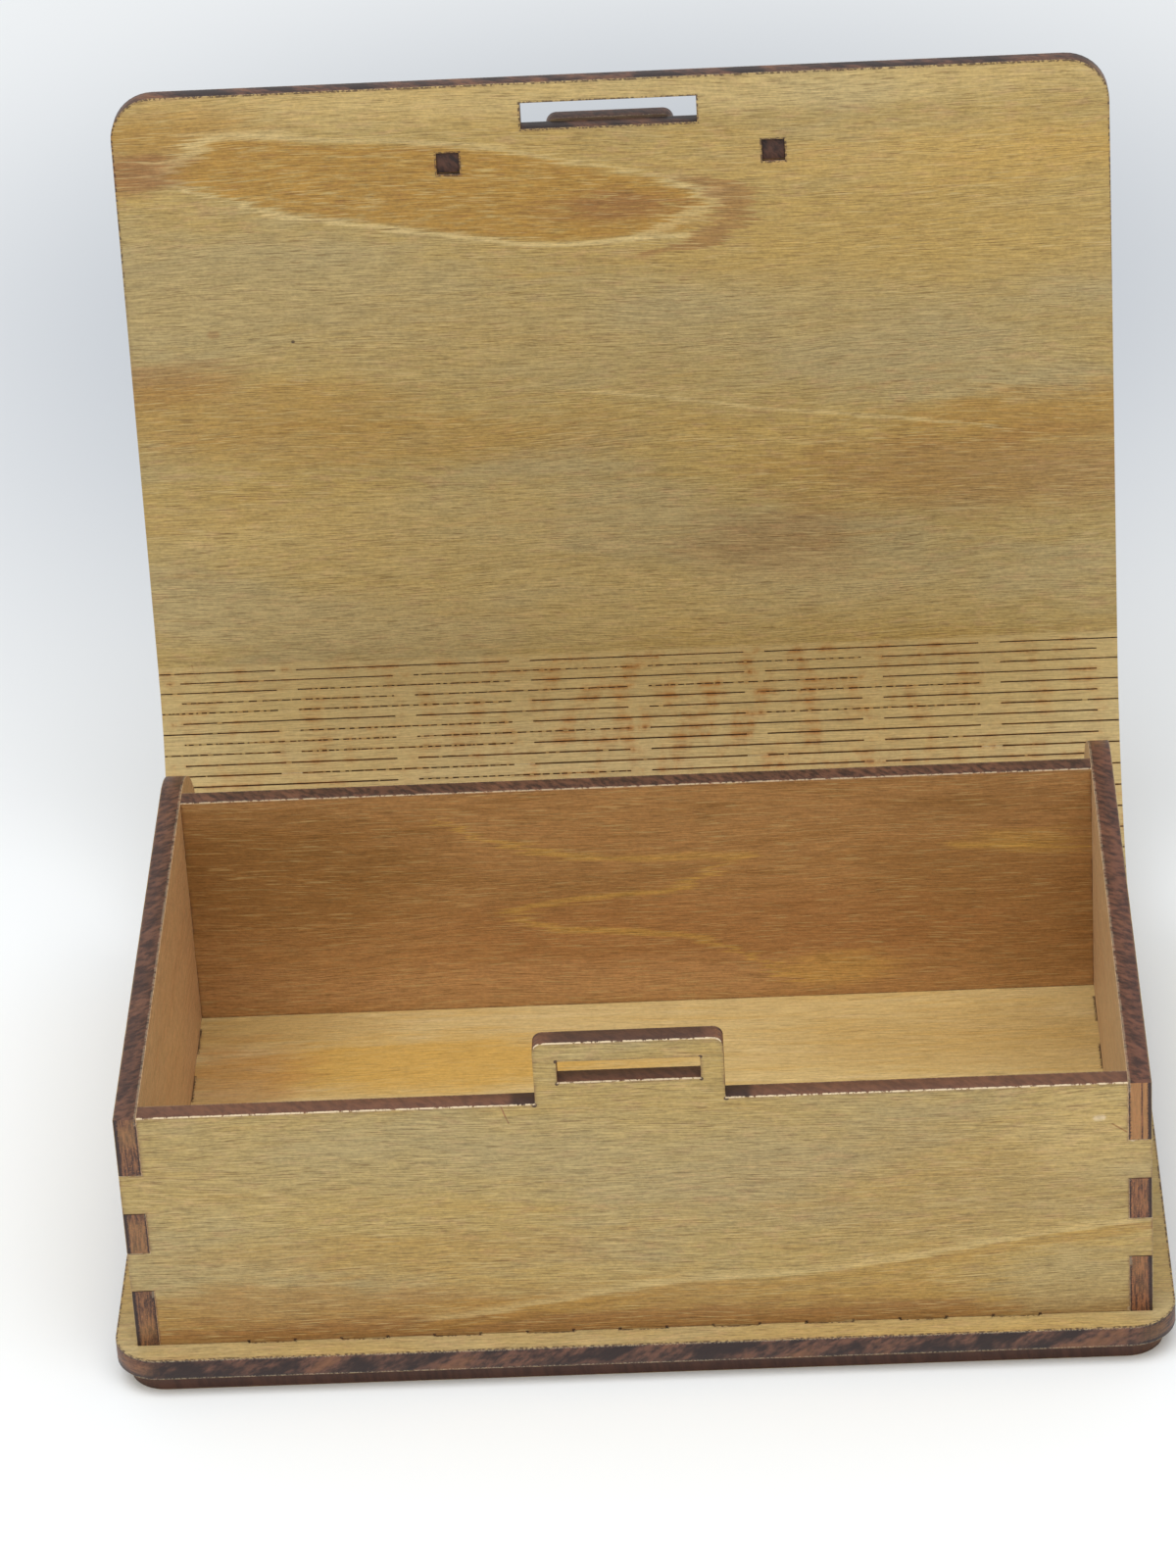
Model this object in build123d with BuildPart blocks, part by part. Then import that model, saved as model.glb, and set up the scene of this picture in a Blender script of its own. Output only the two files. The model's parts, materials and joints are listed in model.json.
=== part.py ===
"""Book box: a laser-cut plywood box whose cover wraps round it like a book, over a living hinge.

Millimetres. X runs across the box, Y from the front to the back, Z up. The origin is the middle
of the bottom plate's underside. The lid is modelled standing open, as the hinge holds it at rest.
"""
import math
import os

from build123d import *

os.makedirs("parts", exist_ok=True)

# Sheet and joints
sheet = 3.0                     # thickness of every plywood piece
finger = 6.0                    # length of a joint finger, and of the space between two
finger_play = 0.05              # gap on each side of a finger

# Box
inner_width = 125.0
inner_depth = 75.0
wall_height = 35.0

# Cover and bottom plate
cover_side_overhang = 3.0       # cover past the side walls
cover_front_overhang = 3.5      # cover past the front wall
cover_corner_radius = 6.0
plate_front_inset = 2.0         # bottom plate behind the cover's front edge
plate_side_inset = 1.5          # bottom plate inside the cover's side edges
plate_corner_radius = 5.0

# Living hinge
hinge_lines = 18                # rows of slits that bend, each followed by a row inside a strip
hinge_clearance = 0.1           # gap between the wrapped hinge and the rounded wall ends
hinge_setback = 0.5             # the slits start this far behind the straight part of the walls
slit_width = 0.2
slit_bridge = 3.0               # uncut length between two slits of a row
slit_cells = 4                  # slits in a row that lies inside a strip
seam = 0.02                     # gap at the bridges between two strips
rest_bend = 5.0                 # degrees that each bending line is turned at rest

# Latch tab on the front wall
tab_width = 24.0
tab_height = 9.0
tab_corner_radius = 1.3
tab_slot_width = 18.1
tab_slot_play = 0.15            # above and below the bolt in the tab's slot

# Latch on the lid
lid_slot_side_play = 0.1
lid_slot_front_play = 0.55      # room for the tab as the lid swings down over it
lid_slot_back_play = 0.2
bolt_side_play = 0.25           # bolt's nose in the tab's slot
bolt_gap = 0.05                 # bolt between the lid and the latch cover
bolt_setback = 0.7              # drawn-back nose behind the lid's slot
bolt_travel = 5.0
bolt_rest = 1.0                 # the bolt stands this far forward of its drawn-back place
bolt_nose_radius = 1.5
lug_width = 28.0
lug_length = 8.0
guide_width = 54.0
guide_bar = 3.0                 # bars in front of and behind the bolt's chamber
guide_slot_gap = 0.8            # guide behind the lid's slot
guide_notch_width = 26.0        # notch in the guide and its cover, behind the lid's slot
guide_notch = 1.5
guide_corner_radius = 2.0
guide_play = 0.2
peg_size = 3.0
peg_play = 0.05
peg_spacing = 44.8
peg_setback = 3.0               # peg holes behind the lid's slot
peg_recess = 0.5                # peg ends below the lid's inner face
stem_width = 8.0
stem_length = 4.0
pad_width = 16.0
pad_length = 9.0
pad_corner_radius = 2.5

# Sizes that follow from the ones above
outer_width = inner_width + 2 * sheet
outer_depth = inner_depth + 2 * sheet
cover_width = outer_width + 2 * cover_side_overhang
plate_front_reach = cover_front_overhang - plate_front_inset
plate_width = cover_width - 2 * plate_side_inset
plate_depth = outer_depth + plate_front_reach
front_y = plate_front_reach - plate_depth / 2
floor_z = 2 * sheet

wrap_radius = wall_height / 2 + hinge_clearance
half_strip = wrap_radius * math.tan(math.radians(90 / hinge_lines))
hinge_start = outer_depth + hinge_setback
cover_flat = hinge_start + cover_front_overhang
slit_cell = (cover_width - slit_bridge) / slit_cells
slit_length = slit_cell - slit_bridge

lid_slot_width = tab_width + 2 * lid_slot_side_play
lid_slot_height = sheet + lid_slot_front_play + lid_slot_back_play
lid_slot_edge = cover_front_overhang + sheet + lid_slot_back_play
bolt_thickness = sheet - 2 * bolt_gap
nose_width = tab_slot_width - 2 * bolt_side_play
guide_edge = lid_slot_edge + guide_slot_gap
chamber_edge = guide_edge + guide_bar
chamber_length = lug_length + bolt_travel + 2 * guide_play
guide_length = chamber_length + 2 * guide_bar
nose_edge = lid_slot_edge + bolt_setback - bolt_rest
lug_edge = chamber_edge + guide_play + bolt_travel - bolt_rest
stem_edge = lug_edge + (lug_length - stem_length) / 2
pad_edge = lug_edge + (lug_length - pad_length) / 2
window_length = stem_length + bolt_travel + 2 * guide_play


def finger_places(length):
    """Middles of the fingers along an edge of this length, measured from the edge's middle."""
    count = math.floor((length - finger) / (2 * finger) + 0.001)
    return [(2 * i - count + 1) * finger for i in range(count)]


def bend_planes(bend):
    """Planes on the inner face at each bending line, with Y along the sheet towards the lid."""
    planes = []
    y = front_y + hinge_start + half_strip
    z = floor_z
    angle = 0.0
    for line in range(hinge_lines):
        last = line == hinge_lines - 1
        angle += 0.0 if last else math.radians(bend)
        planes.append(Plane(origin=(0, y, z), x_dir=(1, 0, 0), z_dir=(0, -math.sin(angle), math.cos(angle))))
        y += 2 * half_strip * math.cos(angle)
        z += 2 * half_strip * math.sin(angle)
    return planes


hinge_planes = bend_planes(rest_bend)
lid_plane = hinge_planes[-1]
lid_length = half_strip + cover_flat


def lid_y(edge_distance):
    """Place on the lid plane of a line at this distance from the lid's free edge."""
    return lid_length - edge_distance


# Bottom plate
with BuildPart() as bottom_plate:
    with BuildSketch():
        RectangleRounded(plate_width, plate_depth, plate_corner_radius)
    extrude(amount=sheet)
bottom_plate.part.label = "bottom_plate"
export_step(bottom_plate.part, "parts/bottom_plate.step")

# Base cover: the part of the sheet under the walls, with their finger slots
with BuildPart() as base_cover:
    with BuildSketch(Plane.XY.offset(sheet)):
        sheet_length = cover_flat + half_strip - slit_width / 2
        with Locations((0, front_y - cover_front_overhang + sheet_length / 2)):
            Rectangle(cover_width, sheet_length)
        fillet(vertices().group_by(Axis.Y)[0], cover_corner_radius)
        with Locations((0, front_y + hinge_start + half_strip - (slit_width + seam) / 4)):
            with GridLocations(slit_cell, 0, slit_cells, 1):
                Rectangle(slit_bridge, (slit_width - seam) / 2)
        with Locations(*[(x, front_y + sheet / 2) for x in finger_places(inner_width)]):
            Rectangle(finger, sheet + 2 * finger_play, mode=Mode.SUBTRACT)
        side_middle = front_y + sheet + (inner_depth + sheet) / 2
        with Locations(*[(0, side_middle + y) for y in finger_places(inner_depth + sheet)]):
            with GridLocations(inner_width + sheet, 0, 2, 1):
                Rectangle(sheet + 2 * finger_play, finger, mode=Mode.SUBTRACT)
    extrude(amount=sheet)
base_cover.part.label = "base_cover"
export_step(base_cover.part, "parts/base_cover.step")

# Front wall with its latch tab
front_plane = Plane(origin=(0, front_y, floor_z), x_dir=(1, 0, 0), z_dir=(0, -1, 0))
tab_slot_middle = 2 * wrap_radius + 1.5 * sheet
with BuildPart() as front_wall:
    with BuildSketch(front_plane):
        with Locations((0, wall_height + tab_height / 2)):
            Rectangle(tab_width, tab_height)
        fillet(vertices().group_by(Axis.Y)[-1], tab_corner_radius)
        with Locations((0, wall_height / 2)):
            Rectangle(inner_width, wall_height)
        with Locations(*[(0, wall_height / 2 + z) for z in finger_places(wall_height)]):
            Rectangle(outer_width, finger - 2 * finger_play)
        with Locations(*[(x, -sheet / 2) for x in finger_places(inner_width)]):
            Rectangle(finger - 2 * finger_play, sheet)
        with Locations((0, tab_slot_middle)):
            Rectangle(tab_slot_width, bolt_thickness + 2 * tab_slot_play, mode=Mode.SUBTRACT)
    extrude(amount=-sheet)
front_wall.part.label = "front_wall"
export_step(front_wall.part, "parts/front_wall.step")

# Back wall
back_plane = front_plane.offset(-(sheet + inner_depth))
with BuildPart() as back_wall:
    with BuildSketch(back_plane):
        with Locations((0, wall_height / 2)):
            Rectangle(inner_width, wall_height)
        with Locations(*[(0, wall_height / 2 + z) for z in finger_places(wall_height)]):
            Rectangle(outer_width, finger - 2 * finger_play)
    extrude(amount=-sheet)
back_wall.part.label = "back_wall"
export_step(back_wall.part, "parts/back_wall.step")

# Outline of a side wall, from the front wall's outer face to its round end
with BuildSketch() as side_outline:
    with Locations((outer_depth / 2, wall_height / 2)):
        Rectangle(outer_depth, wall_height)
    with Locations((outer_depth, wall_height / 2)):
        Circle(wall_height / 2)
    with Locations(*[(sheet / 2, wall_height / 2 + z) for z in finger_places(wall_height)]):
        Rectangle(sheet, finger, mode=Mode.SUBTRACT)
    with Locations(*[(outer_depth - sheet / 2, wall_height / 2 + z) for z in finger_places(wall_height)]):
        Rectangle(sheet + 2 * finger_play, finger, mode=Mode.SUBTRACT)
    floor_edge_middle = sheet + (inner_depth + sheet) / 2
    with Locations(*[(floor_edge_middle + y, -sheet / 2) for y in finger_places(inner_depth + sheet)]):
        Rectangle(finger - 2 * finger_play, sheet)

# Left wall
left_plane = Plane(origin=(-outer_width / 2, front_y, floor_z), x_dir=(0, 1, 0), z_dir=(1, 0, 0))
with BuildPart() as left_wall:
    with BuildSketch(left_plane):
        add(side_outline.sketch)
    extrude(amount=sheet)
left_wall.part.label = "left_wall"
export_step(left_wall.part, "parts/left_wall.step")

# Right wall
with BuildPart() as right_wall:
    with BuildSketch(left_plane.offset(inner_width + sheet)):
        add(side_outline.sketch)
    extrude(amount=sheet)
right_wall.part.label = "right_wall"
export_step(right_wall.part, "parts/right_wall.step")

# Hinge strips: each lies between two bending lines and holds one row of slits
for number in range(1, hinge_lines):
    name = f"hinge_strip_{number:02d}"
    with BuildPart() as hinge_strip:
        with BuildSketch(hinge_planes[number - 1]):
            with Locations((0, half_strip)):
                Rectangle(cover_width, 2 * half_strip - slit_width)
                with GridLocations(slit_cell, 0, slit_cells, 1):
                    Rectangle(slit_bridge, 2 * half_strip - seam)
                    Rectangle(slit_length, slit_width, mode=Mode.SUBTRACT)
        extrude(amount=-sheet)
    hinge_strip.part.label = name
    export_step(hinge_strip.part, f"parts/{name}.step")

# Lid, from the last bending line to the free edge
with BuildPart() as lid:
    with BuildSketch(lid_plane):
        with Locations((0, (slit_width / 2 + lid_length) / 2)):
            Rectangle(cover_width, lid_length - slit_width / 2)
        fillet(vertices().group_by(Axis.Y)[-1], cover_corner_radius)
        with Locations((0, (slit_width + seam) / 4)):
            with GridLocations(slit_cell, 0, slit_cells, 1):
                Rectangle(slit_bridge, (slit_width - seam) / 2)
        with Locations((0, lid_y(lid_slot_edge - lid_slot_height / 2))):
            Rectangle(lid_slot_width, lid_slot_height, mode=Mode.SUBTRACT)
        peg_hole = peg_size + 2 * peg_play
        with Locations((0, lid_y(lid_slot_edge + peg_setback + peg_hole / 2))):
            with GridLocations(peg_spacing, 0, 2, 1) as peg_places:
                Rectangle(peg_hole, peg_hole, mode=Mode.SUBTRACT)
    extrude(amount=-sheet)
lid.part.label = "lid"
export_step(lid.part, "parts/lid.step")

# Latch guide: the layer on the lid's outer face that the bolt slides in
peg_y = lid_y(lid_slot_edge + peg_setback + peg_hole / 2)
guide_middle = lid_y(guide_edge + guide_length / 2)
notch_y = lid_y(guide_edge + guide_notch / 2)
with BuildPart() as latch_guide:
    with BuildSketch(lid_plane.offset(-sheet)):
        with Locations((0, guide_middle)):
            RectangleRounded(guide_width, guide_length, guide_corner_radius)
            Rectangle(lug_width + 2 * guide_play, chamber_length, mode=Mode.SUBTRACT)
        with Locations((0, notch_y)):
            Rectangle(guide_notch_width, guide_notch, mode=Mode.SUBTRACT)
        with Locations((0, lid_y(guide_edge + guide_bar / 2))):
            Rectangle(nose_width + 2 * guide_play, guide_bar, mode=Mode.SUBTRACT)
        with Locations((0, peg_y)):
            with GridLocations(peg_spacing, 0, 2, 1):
                Rectangle(peg_hole, peg_hole, mode=Mode.SUBTRACT)
    extrude(amount=-sheet)
latch_guide.part.label = "latch_guide"
export_step(latch_guide.part, "parts/latch_guide.step")

# Latch cover: closes the guide and holds the bolt in, with a window for the grip's stem
window_middle = lid_y(stem_edge + stem_length / 2 - bolt_travel / 2 + bolt_rest)
with BuildPart() as latch_cover:
    with BuildSketch(lid_plane.offset(-2 * sheet)):
        with Locations((0, guide_middle)):
            RectangleRounded(guide_width, guide_length, guide_corner_radius)
        with Locations((0, notch_y)):
            Rectangle(guide_notch_width, guide_notch, mode=Mode.SUBTRACT)
        with Locations((0, window_middle)):
            Rectangle(stem_width + 2 * guide_play, window_length, mode=Mode.SUBTRACT)
        with Locations((0, peg_y)):
            with GridLocations(peg_spacing, 0, 2, 1):
                Rectangle(peg_hole, peg_hole, mode=Mode.SUBTRACT)
    extrude(amount=-sheet)
latch_cover.part.label = "latch_cover"
export_step(latch_cover.part, "parts/latch_cover.step")

# Latch pegs: two square pegs through the lid, the guide and the cover
with BuildPart() as latch_pegs:
    with BuildSketch(lid_plane.offset(-peg_recess)):
        with Locations((0, peg_y)):
            with GridLocations(peg_spacing, 0, 2, 1):
                Rectangle(peg_size, peg_size)
    extrude(amount=-(3 * sheet - peg_recess))
latch_pegs.part.label = "latch_pegs"
export_step(latch_pegs.part, "parts/latch_pegs.step")

# Latch bolt: a nose for the tab's slot and a wide lug that stays in the guide's chamber
nose_length = lug_edge - nose_edge
with BuildPart() as latch_bolt:
    with BuildSketch(lid_plane.offset(-(sheet + bolt_gap))):
        with Locations((0, lid_y(nose_edge + nose_length / 2))):
            Rectangle(nose_width, nose_length)
        fillet(vertices().group_by(Axis.Y)[-1], bolt_nose_radius)
        with Locations((0, lid_y(lug_edge + lug_length / 2))):
            Rectangle(lug_width, lug_length)
    extrude(amount=-bolt_thickness)
latch_bolt.part.label = "latch_bolt"
export_step(latch_bolt.part, "parts/latch_bolt.step")

# Grip stem: carries the thumb pad through the cover's window
stem_plane = lid_plane.offset(-(2 * sheet - bolt_gap))
stem_height = sheet + 2 * bolt_gap
with BuildPart() as grip_stem:
    with BuildSketch(stem_plane):
        with Locations((0, lid_y(stem_edge + stem_length / 2))):
            Rectangle(stem_width, stem_length)
    extrude(amount=-stem_height)
grip_stem.part.label = "grip_stem"
export_step(grip_stem.part, "parts/grip_stem.step")

# Thumb pad
with BuildPart() as thumb_pad:
    with BuildSketch(stem_plane.offset(-stem_height)):
        with Locations((0, lid_y(pad_edge + pad_length / 2))):
            RectangleRounded(pad_width, pad_length, pad_corner_radius)
    extrude(amount=-sheet)
thumb_pad.part.label = "thumb_pad"
export_step(thumb_pad.part, "parts/thumb_pad.step")
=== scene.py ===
"""Book box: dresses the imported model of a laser-cut plywood box with a wrap-round cover.

Lengths in the settings are metres. The "sheet" attribute gives each point of a plywood piece its
place in the sheet that it was cut from, in millimetres: along the grain, across it, and the depth
below the side that shows.
"""

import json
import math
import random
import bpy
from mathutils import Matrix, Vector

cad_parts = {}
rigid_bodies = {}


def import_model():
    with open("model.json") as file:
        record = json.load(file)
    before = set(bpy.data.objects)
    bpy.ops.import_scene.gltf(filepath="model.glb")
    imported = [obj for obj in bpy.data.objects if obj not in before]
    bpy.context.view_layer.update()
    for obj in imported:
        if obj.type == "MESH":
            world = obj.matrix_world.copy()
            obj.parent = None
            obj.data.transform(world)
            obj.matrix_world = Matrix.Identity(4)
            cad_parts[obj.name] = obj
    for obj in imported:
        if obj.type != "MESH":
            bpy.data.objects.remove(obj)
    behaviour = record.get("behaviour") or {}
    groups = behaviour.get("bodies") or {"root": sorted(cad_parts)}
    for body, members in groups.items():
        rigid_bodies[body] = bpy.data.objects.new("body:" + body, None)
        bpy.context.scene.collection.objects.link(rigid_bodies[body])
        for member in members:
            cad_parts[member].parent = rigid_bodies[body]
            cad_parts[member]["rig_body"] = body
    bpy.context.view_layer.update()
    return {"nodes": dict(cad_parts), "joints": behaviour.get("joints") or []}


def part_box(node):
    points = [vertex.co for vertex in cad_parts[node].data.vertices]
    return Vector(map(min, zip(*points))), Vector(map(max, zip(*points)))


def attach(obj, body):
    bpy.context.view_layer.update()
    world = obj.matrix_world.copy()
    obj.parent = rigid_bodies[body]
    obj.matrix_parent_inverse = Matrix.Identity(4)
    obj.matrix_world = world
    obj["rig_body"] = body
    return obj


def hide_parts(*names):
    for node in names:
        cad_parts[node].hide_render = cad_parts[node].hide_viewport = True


bl_info = {
    "name": "Book Box",
    "version": (1, 0, 0),
    "blender": (4, 5, 0),
    "location": "3D View > Sidebar > Book Box",
    "description": "Dresses the book box with veneer, burnt cuts, fibres and a studio",
    "category": "Object",
}

import bmesh
import bpy
from bpy.props import FloatProperty, FloatVectorProperty, IntProperty, PointerProperty
from mathutils import Euler, Vector

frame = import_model()

MM = 0.001
WELD = 1e-7  # in metres
FLAT_ANGLE = math.radians(0.3)  # faces within this become one
SHARP_ANGLE = math.radians(30)  # edges above this stay sharp
FACE_ON = 0.999  # cosine above which a face is veneer and not a cut
UPWARDS = 0.5  # cosine above which a cut is the crest of its piece

# Lengths in the sheet, in millimetres
SHEET = 3.0  # thickness of the plywood
FINGER = 6.0  # joint finger, and the space between two
BRIDGE = 3.0  # uncut wood between two slits of a row
HALF_SLIT = 0.1
CLEAR_SLIT = 0.085  # reach of soot and fibres towards the strip on the other side
SEAM_REACH = 0.3  # a cut this near to a seam belongs to it
SOOT_DEPTHS = (0.22, 0.5)
BACK_SOOT_DEPTHS = (0.6, 0.8)  # on the strip before a bending line, which opens outwards
FIBRE_TOPS = (0.01, 0.03, 0.08, 0.16)
FIBRE_THICKNESS = 0.12
CLEAR_END = 0.6  # no fibre starts this near to a slit's end
LEFT_HALF = -10.0  # slits whose middle is left of this have more fibres
ALONG_GRAIN = (-70.0, 70.0, 60.0)  # ends of a curve along the grain, and its greatest height
ACROSS_LOOP = (10.0, 30.0, 90.0)  # the same for the curves across the ends of the lid's loop

# Studio, in metres
SENSOR_WIDTH = 36.0  # in millimetres
FLOOR_REACH = 4.0
SOFTBOX_SIZE = (1.8, 0.9)
LAMP_AIM = Vector((0, 0, 0.05))
# The floor behind the lid is painted grey as a painted shadow of the lid
PAINTED_SHADOW_SPOT = (-0.005, 0.27, 0.0)  # middle of the greyer floor behind the lid
PAINTED_SHADOW_REACH = (0.24, 0.03)  # distances where the grey starts and where it is full

WHITE = (1.0, 1.0, 1.0)
JOINTS = {joint["name"]: joint for joint in frame["joints"]}
LINES = [Vector(joint["pos_m"]) for name, joint in JOINTS.items() if name != "latch_slide"]
ACROSS = Vector((1, 0, 0))


def linear_colour(red, green, blue):
    """Linear colour from the 0 to 255 values of a colour picker."""
    def linear(value):
        value /= 255
        return value / 12.92 if value < 0.04045 else ((value + 0.055) / 1.055) ** 2.4
    return (linear(red), linear(green), linear(blue))


def colour(name, text, red, green, blue):
    return FloatVectorProperty(name=name, description=text, subtype="COLOR", size=3, min=0, max=1,
                               default=linear_colour(red, green, blue))


def distance(name, text, default, low, high):
    return FloatProperty(name=name, description=text, default=default, min=low, max=high,
                         subtype="DISTANCE", unit="LENGTH")


def location(name, text, default):
    return FloatVectorProperty(name=name, description=text, size=3, default=default,
                               subtype="TRANSLATION", unit="LENGTH")


class BookBoxVeneer(bpy.types.PropertyGroup):
    """Colours of the varnished veneer."""
    grey_tan: colour("Grey tan", "Dull part of the veneer", 170, 150, 103)
    tan: colour("Tan", "Common colour of the veneer", 174, 149, 92)
    gold: colour("Gold", "Warm part of the veneer", 181, 150, 84)
    rosy: colour("Rosy", "Faint pink streaks", 186, 148, 106)
    honey: colour("Honey", "Yellow patches", 206, 165, 84)
    amber: colour("Amber", "Heartwood and thick varnish", 169, 127, 54)
    brown: colour("Brown", "Darkest bands", 146, 102, 58)
    pale: colour("Pale", "Silky figure", 208, 183, 126)
    fair: colour("Fair", "Palest streaks of the floor", 232, 206, 156)
    # Paler than the lid's veneer of the same sheet: partly figure, partly painted light from above on the
    # floor
    golden_wash_and_painted_light: colour("Sunny", "Golden wash of the floor", 219, 193, 134)
    pore: colour("Pore", "Short dark flecks along the grain", 112, 82, 42)
    inside: colour("Inside", "Brown veneer of the inside walls", 177, 130, 82)
    # Lighter than the wood's own colour: painted light on the inner sides of the side walls
    tawny_with_painted_light: colour("Tawny", "Inner side of the side walls", 212, 169, 121)
    umber: colour("Umber", "Dark streaks of the inside walls", 138, 98, 48)
    russet: colour("Russet", "Reddish streaks of the inside walls", 176, 118, 72)
    roughness: FloatProperty(name="Roughness", description="Roughness of the varnish", default=0.5,
                             min=0, max=1, subtype="FACTOR")


class BookBoxBurn(bpy.types.PropertyGroup):
    """Colours of the laser-cut edges."""
    soot: colour("Soot", "Over-burnt corners", 38, 22, 16)
    char: colour("Char", "Dark burn", 62, 43, 38)
    coal: colour("Coal", "Nearly black patches", 44, 31, 30)
    red_brown: colour("Red brown", "Common colour of a cut edge", 112, 76, 60)
    ember: colour("Ember", "Lightly burnt wood", 146, 99, 66)
    glow: colour("Glow", "Orange flecks of the end grain", 190, 128, 74)
    blond: colour("Blond", "Lighter ends of the fingers", 198, 152, 92)
    stain: colour("Stain", "Smoke stain round the slits", 172, 112, 48)
    scald: colour("Scald", "Burnt sides of a slit", 84, 57, 30)
    # Grey-brown painted on the bolt's inner side
    bolt_inner_grey: colour("Haze", "Soot on the bolt's inner side", 112, 94, 78)
    fuzz: colour("Fuzz", "Torn pale fibres on an arris", 222, 201, 166)
    scorch_width: distance("Scorch width", "Browned band beside a cut", 0.0006, 0, 0.002)
    arris: distance("Arris", "Softening of a cut edge", 0.00009, 0, 0.0003)


class BookBoxFibres(bpy.types.PropertyGroup):
    """Wood fibres that the laser left in the slits of the hinge."""
    dash: distance("Dash", "Mean length of an uncut dash", 0.00055, 0.0001, 0.003)
    seed: IntProperty(name="Seed", description="Start of the random draws", default=7, min=0)


class BookBoxStudio(bpy.types.PropertyGroup):
    """Camera, lamps and floor."""
    camera_place: location("Camera", "Place of the camera", (0.024906, -0.668985, 0.457458))
    camera_turn: FloatVectorProperty(name="Turn", description="Rotation of the camera", size=3,
                                     default=[math.radians(a) for a in (59.5291, 3.0139, 0.7561)],
                                     subtype="EULER", unit="ROTATION")
    lens: FloatProperty(name="Lens", description="Focal length in millimetres", default=137.548,
                        min=10, max=400)
    lamp: FloatProperty(name="Lamp", description="Power of the soft lamp in watts", default=12.5,
                        min=0, max=100)
    lamp_place: location("Lamp place", "Place of the soft lamp", (-0.1, -0.5, 1.2))
    sky: FloatProperty(name="Sky", description="Strength of the even white light", default=0.6,
                       min=0, max=2)
    floor: colour("Floor", "Pale floor", 248, 251, 253)
    # Grey of the shadow painted on the floor behind the lid
    floor_painted_shadow: colour("Far floor", "Greyer floor behind the lid", 188, 194, 202)


class BookBoxSettings(bpy.types.PropertyGroup):
    """All settings of the box."""
    veneer: PointerProperty(type=BookBoxVeneer)
    burn: PointerProperty(type=BookBoxBurn)
    fibres: PointerProperty(type=BookBoxFibres)
    studio: PointerProperty(type=BookBoxStudio)


class Nodes:
    """Adds nodes to a material's tree and links them."""

    def __init__(self, tree):
        self.tree = tree

    def add(self, kind, inputs=None, **settings):
        """Adds a node. Each input is a socket to link or a value to set."""
        node = self.tree.nodes.new(kind)
        for name, value in settings.items():
            setattr(node, name, value)
        for key, value in (inputs or {}).items():
            if isinstance(value, bpy.types.NodeSocket):
                self.tree.links.new(value, node.inputs[key])
            else:
                node.inputs[key].default_value = value
        return node

    def feed(self, shader, name, socket):
        self.tree.links.new(socket, shader.inputs[name])

    def attribute(self, name, output="Fac"):
        return self.add("ShaderNodeAttribute", attribute_name=name).outputs[output]

    def math(self, operation, a, b=0.0, c=0.0, clamp=False):
        return self.add("ShaderNodeMath", {0: a, 1: b, 2: c}, operation=operation, use_clamp=clamp).outputs[0]

    def plus(self, a, b):
        return self.math("ADD", a, b)

    def minus(self, a, b):
        return self.math("SUBTRACT", a, b)

    def apart(self, a, b):
        """How far two values are apart."""
        return self.math("ABSOLUTE", self.minus(a, b))

    def larger(self, a, b):
        return self.math("MAXIMUM", a, b)

    def smaller(self, a, b):
        return self.math("MINIMUM", a, b)

    def times(self, *values):
        result = values[0]
        for value in values[1:]:
            result = self.math("MULTIPLY", result, value)
        return result

    def offset(self, value, centre, size=1.0):
        """How far value is from centre, in units of size."""
        return self.math("DIVIDE", self.minus(value, centre), size)

    def vector(self, x, y, z=0.0):
        return self.add("ShaderNodeCombineXYZ", {0: x, 1: y, 2: z}).outputs[0]

    def away(self, x, y):
        """How far the point x, y is from 0, 0."""
        return self.add("ShaderNodeVectorMath", {0: self.vector(x, y)}, operation="LENGTH").outputs[1]

    def step(self, value, low, high, to=1.0, start=0.0):
        """Smooth step from start at low to `to` at high."""
        return self.add("ShaderNodeMapRange", {0: value, 1: low, 2: high, 3: start, 4: to},
                        interpolation_type="SMOOTHSTEP").outputs[0]

    def band(self, value, low, high, soft):
        """1 between low and high, fading to 0 over soft on both sides."""
        return self.times(self.step(value, low - soft, low), self.step(value, high + soft, high))

    def mix(self, factor, a, b, blend="MIX"):
        a, b = (x if isinstance(x, bpy.types.NodeSocket) else (*x, 1.0) for x in (a, b))
        return self.add("ShaderNodeMix", {0: factor, 6: a, 7: b}, data_type="RGBA", blend_type=blend,
                        clamp_factor=True).outputs[2]

    def noise(self, vector, scale, shift=(0, 0, 0), detail=2.0, roughness=0.5):
        place = self.add("ShaderNodeVectorMath", {0: vector, 1: scale, 2: shift}, operation="MULTIPLY_ADD")
        return self.add("ShaderNodeTexNoise", {"Vector": place.outputs[0], "Scale": 1.0, "Detail": detail,
                                               "Roughness": roughness}).outputs[0]

    def curve(self, value, points, reach):
        """Value looked up on a smooth curve through points.

        Reach is the two ends of the curve and its greatest height.
        """
        low, high, height = reach
        place = self.math("DIVIDE", self.minus(value, low), high - low, clamp=True)
        node = self.add("ShaderNodeFloatCurve", {0: 1.0, 1: place})
        line = node.mapping.curves[0]
        points = [(low, points[0][1]), *points, (high, points[-1][1])]
        while len(line.points) < len(points):
            line.points.new(0.5, 0.5)
        for point, (x, y) in zip(line.points, points):
            point.location = ((x - low) / (high - low), y / height)
        node.mapping.update()
        return self.math("MULTIPLY", node.outputs[0], height)


def new_material(name, roughness, specular):
    """A material with its nodes and its shader."""
    material = bpy.data.materials.new(name)
    material.use_nodes = True
    shader = material.node_tree.nodes["Principled BSDF"]
    shader.inputs["Roughness"].default_value = roughness
    shader.inputs["Specular IOR Level"].default_value = specular
    return material, Nodes(material.node_tree), shader


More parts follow.
